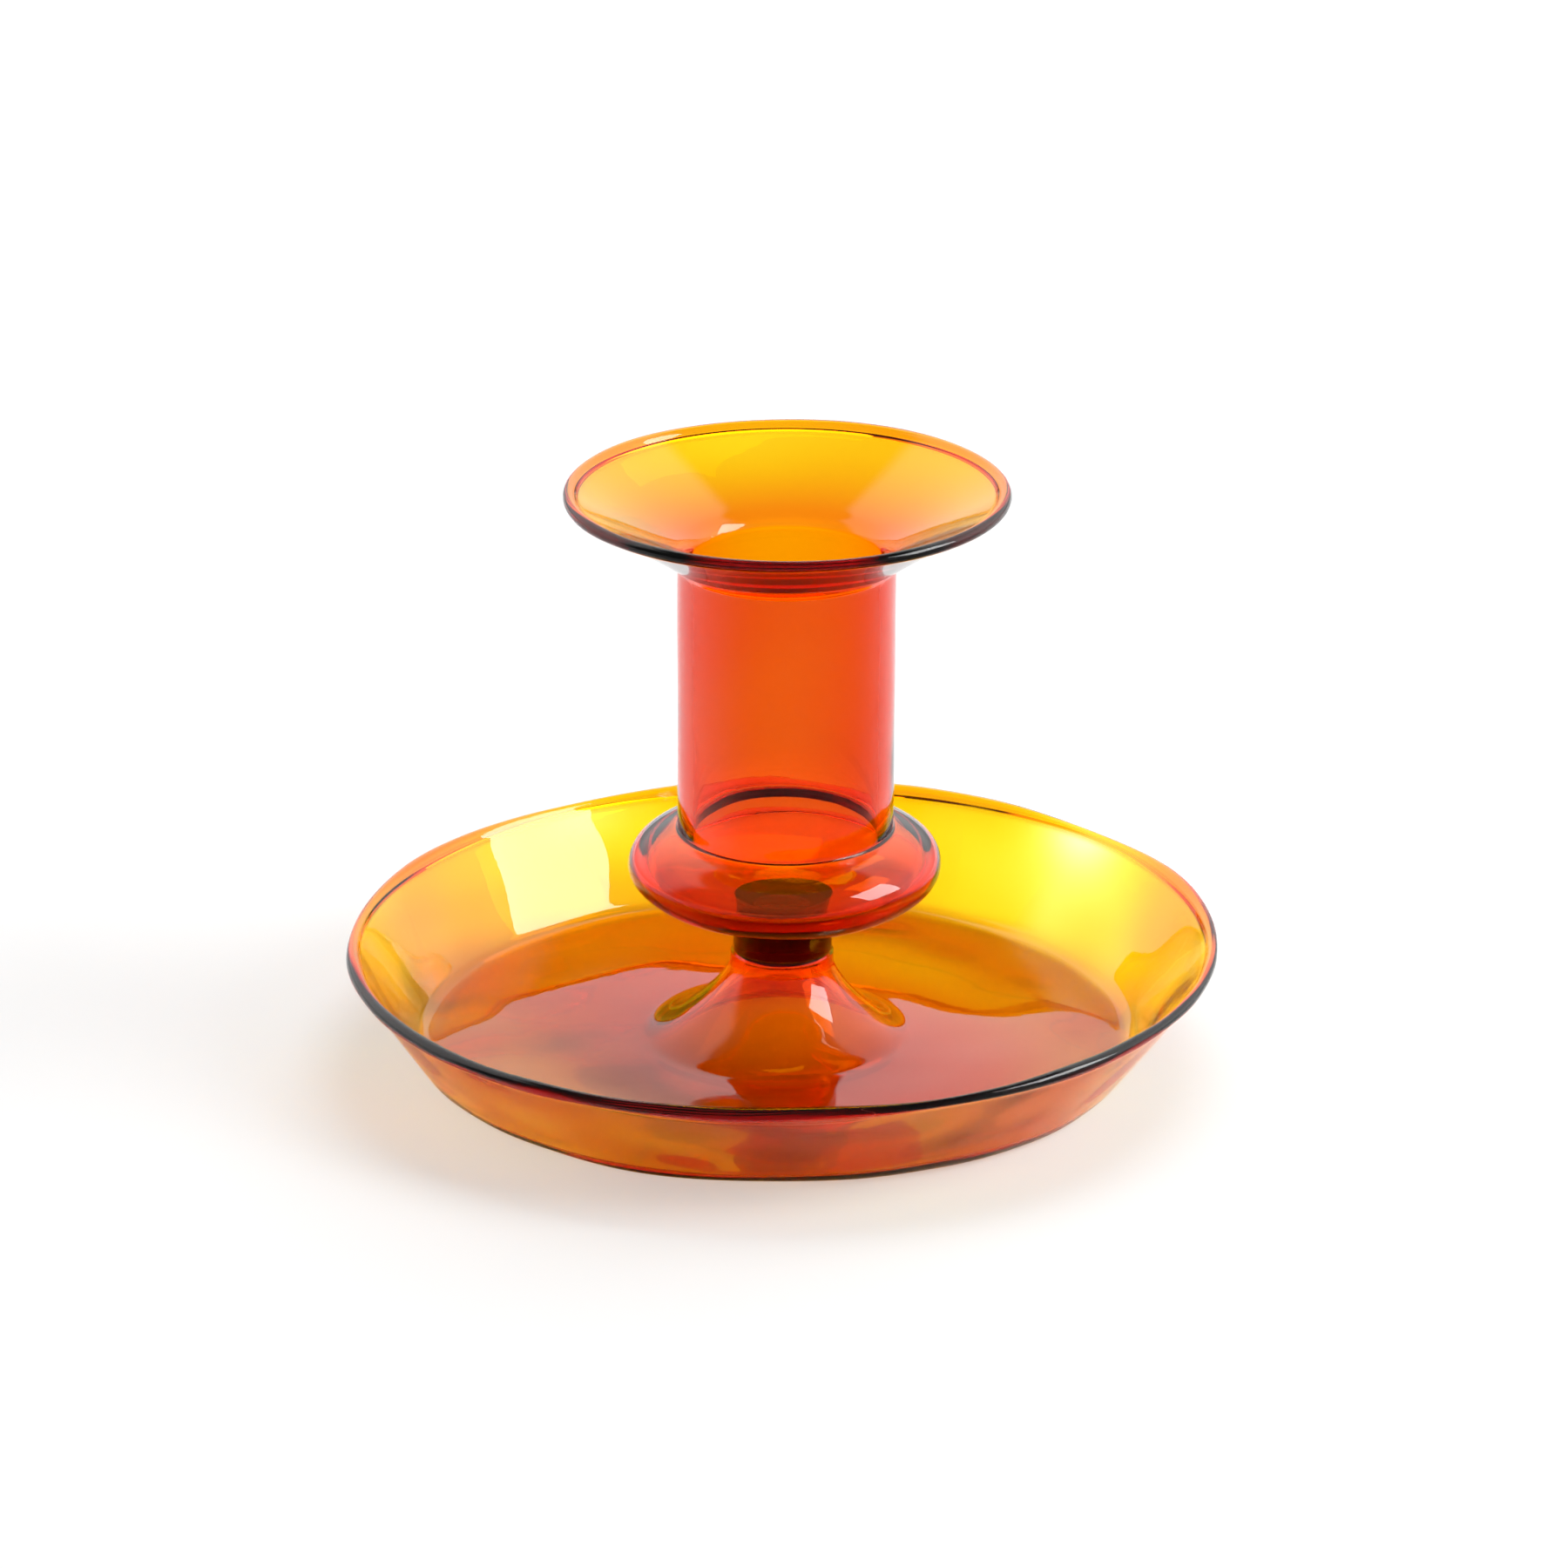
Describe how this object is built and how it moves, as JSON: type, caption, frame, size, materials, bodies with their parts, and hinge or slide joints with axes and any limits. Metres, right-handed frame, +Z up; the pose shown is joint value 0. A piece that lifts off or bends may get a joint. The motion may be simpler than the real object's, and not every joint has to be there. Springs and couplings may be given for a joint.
{
  "type": "glass chamberstick",
  "caption": "Low amber glass candlestick: a flared candle cup on a hollow bulb and a short dark collar, standing on a hollow cone in a wide saucer.",
  "frame": {"origin": "centre of the circle the saucer stands on, on the table's surface", "axes": "+Z up along the turning axis of the cup and the saucer"},
  "size_m": [0.11, 0.11, 0.0741],
  "materials": {
    "amber_glass": "polished",
    "dark_glass": "polished"
  },
  "bodies": {
    "root": {"drip_pan": "amber_glass", "drip_pan_bead": "amber_glass", "socket_tube": "amber_glass", "bulb": "amber_glass", "neck_collar": "dark_glass", "foot_cone": "amber_glass", "saucer": "amber_glass", "saucer_bead": "amber_glass"}
  },
  "joints": []
}
